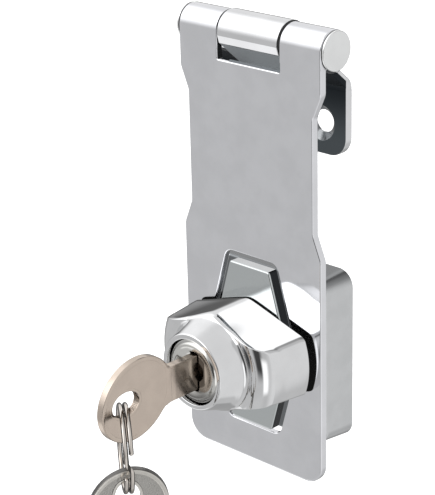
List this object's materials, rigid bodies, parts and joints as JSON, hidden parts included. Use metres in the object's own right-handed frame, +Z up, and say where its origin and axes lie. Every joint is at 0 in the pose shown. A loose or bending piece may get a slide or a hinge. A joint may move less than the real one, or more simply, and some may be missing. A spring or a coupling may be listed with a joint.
{
  "type": "keyed hasp lock",
  "caption": "Chromed hinged strap that closes over a cast base and is held by a keyed turn knob, with its key and spare key on a split ring.",
  "frame": {"origin": "the knob's axis where it meets the plane of the wall, at the middle of the base's screw pattern", "axes": "+Y into the wall, +Z up along the strap towards the hinge, +X to the right seen from the front"},
  "size_m": [0.0442, 0.0601, 0.1385],
  "materials": {
    "plated_steel": "bright plated pressed steel",
    "plated_zinc": "bright plated casting",
    "plated_plug": "bright plated, turned",
    "brass": "machined",
    "inner_steel": "zinc plated",
    "nickel_key": "nickel plated, satin",
    "ring_wire": "bright nickel plated wire"
  },
  "bodies": {
    "mount": {"lock_base": "plated_zinc", "strap": "plated_steel", "hinge_pin": "plated_steel", "hinge_pin_cap": "plated_steel"},
    "leaf": {"hinge_leaf": "plated_steel"},
    "turn_knob": {"knob": "plated_zinc", "cylinder_sleeve": "brass", "bolt_cover": "inner_steel", "spring_washer": "inner_steel", "stop_washer": "inner_steel", "retaining_ring": "inner_steel"},
    "lock_plug": {"plug": "plated_plug", "drive_cam": "inner_steel", "cam_screw": "inner_steel", "wafer_1": "brass", "wafer_2": "brass", "wafer_3": "brass", "wafer_4": "brass", "wafer_5": "brass", "wafer_spring_1": "inner_steel", "wafer_spring_2": "inner_steel", "wafer_spring_3": "inner_steel", "wafer_spring_4": "inner_steel", "wafer_spring_5": "inner_steel"},
    "bolt": {"lock_bolt": "inner_steel"},
    "first_key": {"key": "nickel_key"},
    "ring": {"split_ring": "ring_wire"},
    "second_key": {"spare_key": "nickel_key"}
  },
  "joints": [
    {"name": "leaf_swing", "type": "hinge", "parent": "mount", "child": "leaf", "pos_m": [0, -0.00585, 0.07335], "axis": [1, 0, 0], "range_deg": [0, 180]},
    {"name": "knob_turn", "type": "hinge", "parent": "mount", "child": "turn_knob", "pos_m": [0, 0, 0], "axis": [0, 1, 0], "range_deg": [0, 90]},
    {"name": "plug_turn", "type": "hinge", "parent": "turn_knob", "child": "lock_plug", "pos_m": [0, 0, 0], "axis": [0, 1, 0], "range_deg": [0, 90]},
    {"name": "bolt_slide", "type": "slide", "parent": "turn_knob", "child": "bolt", "axis": [0, 0, -1], "range_m": [0, 0.0022]},
    {"name": "key_withdraw", "type": "slide", "parent": "lock_plug", "child": "first_key", "axis": [0, -1, 0], "range_m": [0, 0.018]},
    {"name": "ring_swing", "type": "hinge", "parent": "first_key", "child": "ring", "pos_m": [0, -0.052, -0.0027], "axis": [1, 0, 0], "range_deg": [-15, 15]},
    {"name": "spare_swing", "type": "hinge", "parent": "ring", "child": "second_key", "pos_m": [0, -0.052, -0.0199], "axis": [-0.788, 0.6157, 0], "range_deg": [-20, 20]}
  ],
  "couplings": [
    {"joint": "bolt_slide", "follows": "plug_turn", "m_per_rad": 0.0014006}
  ]
}
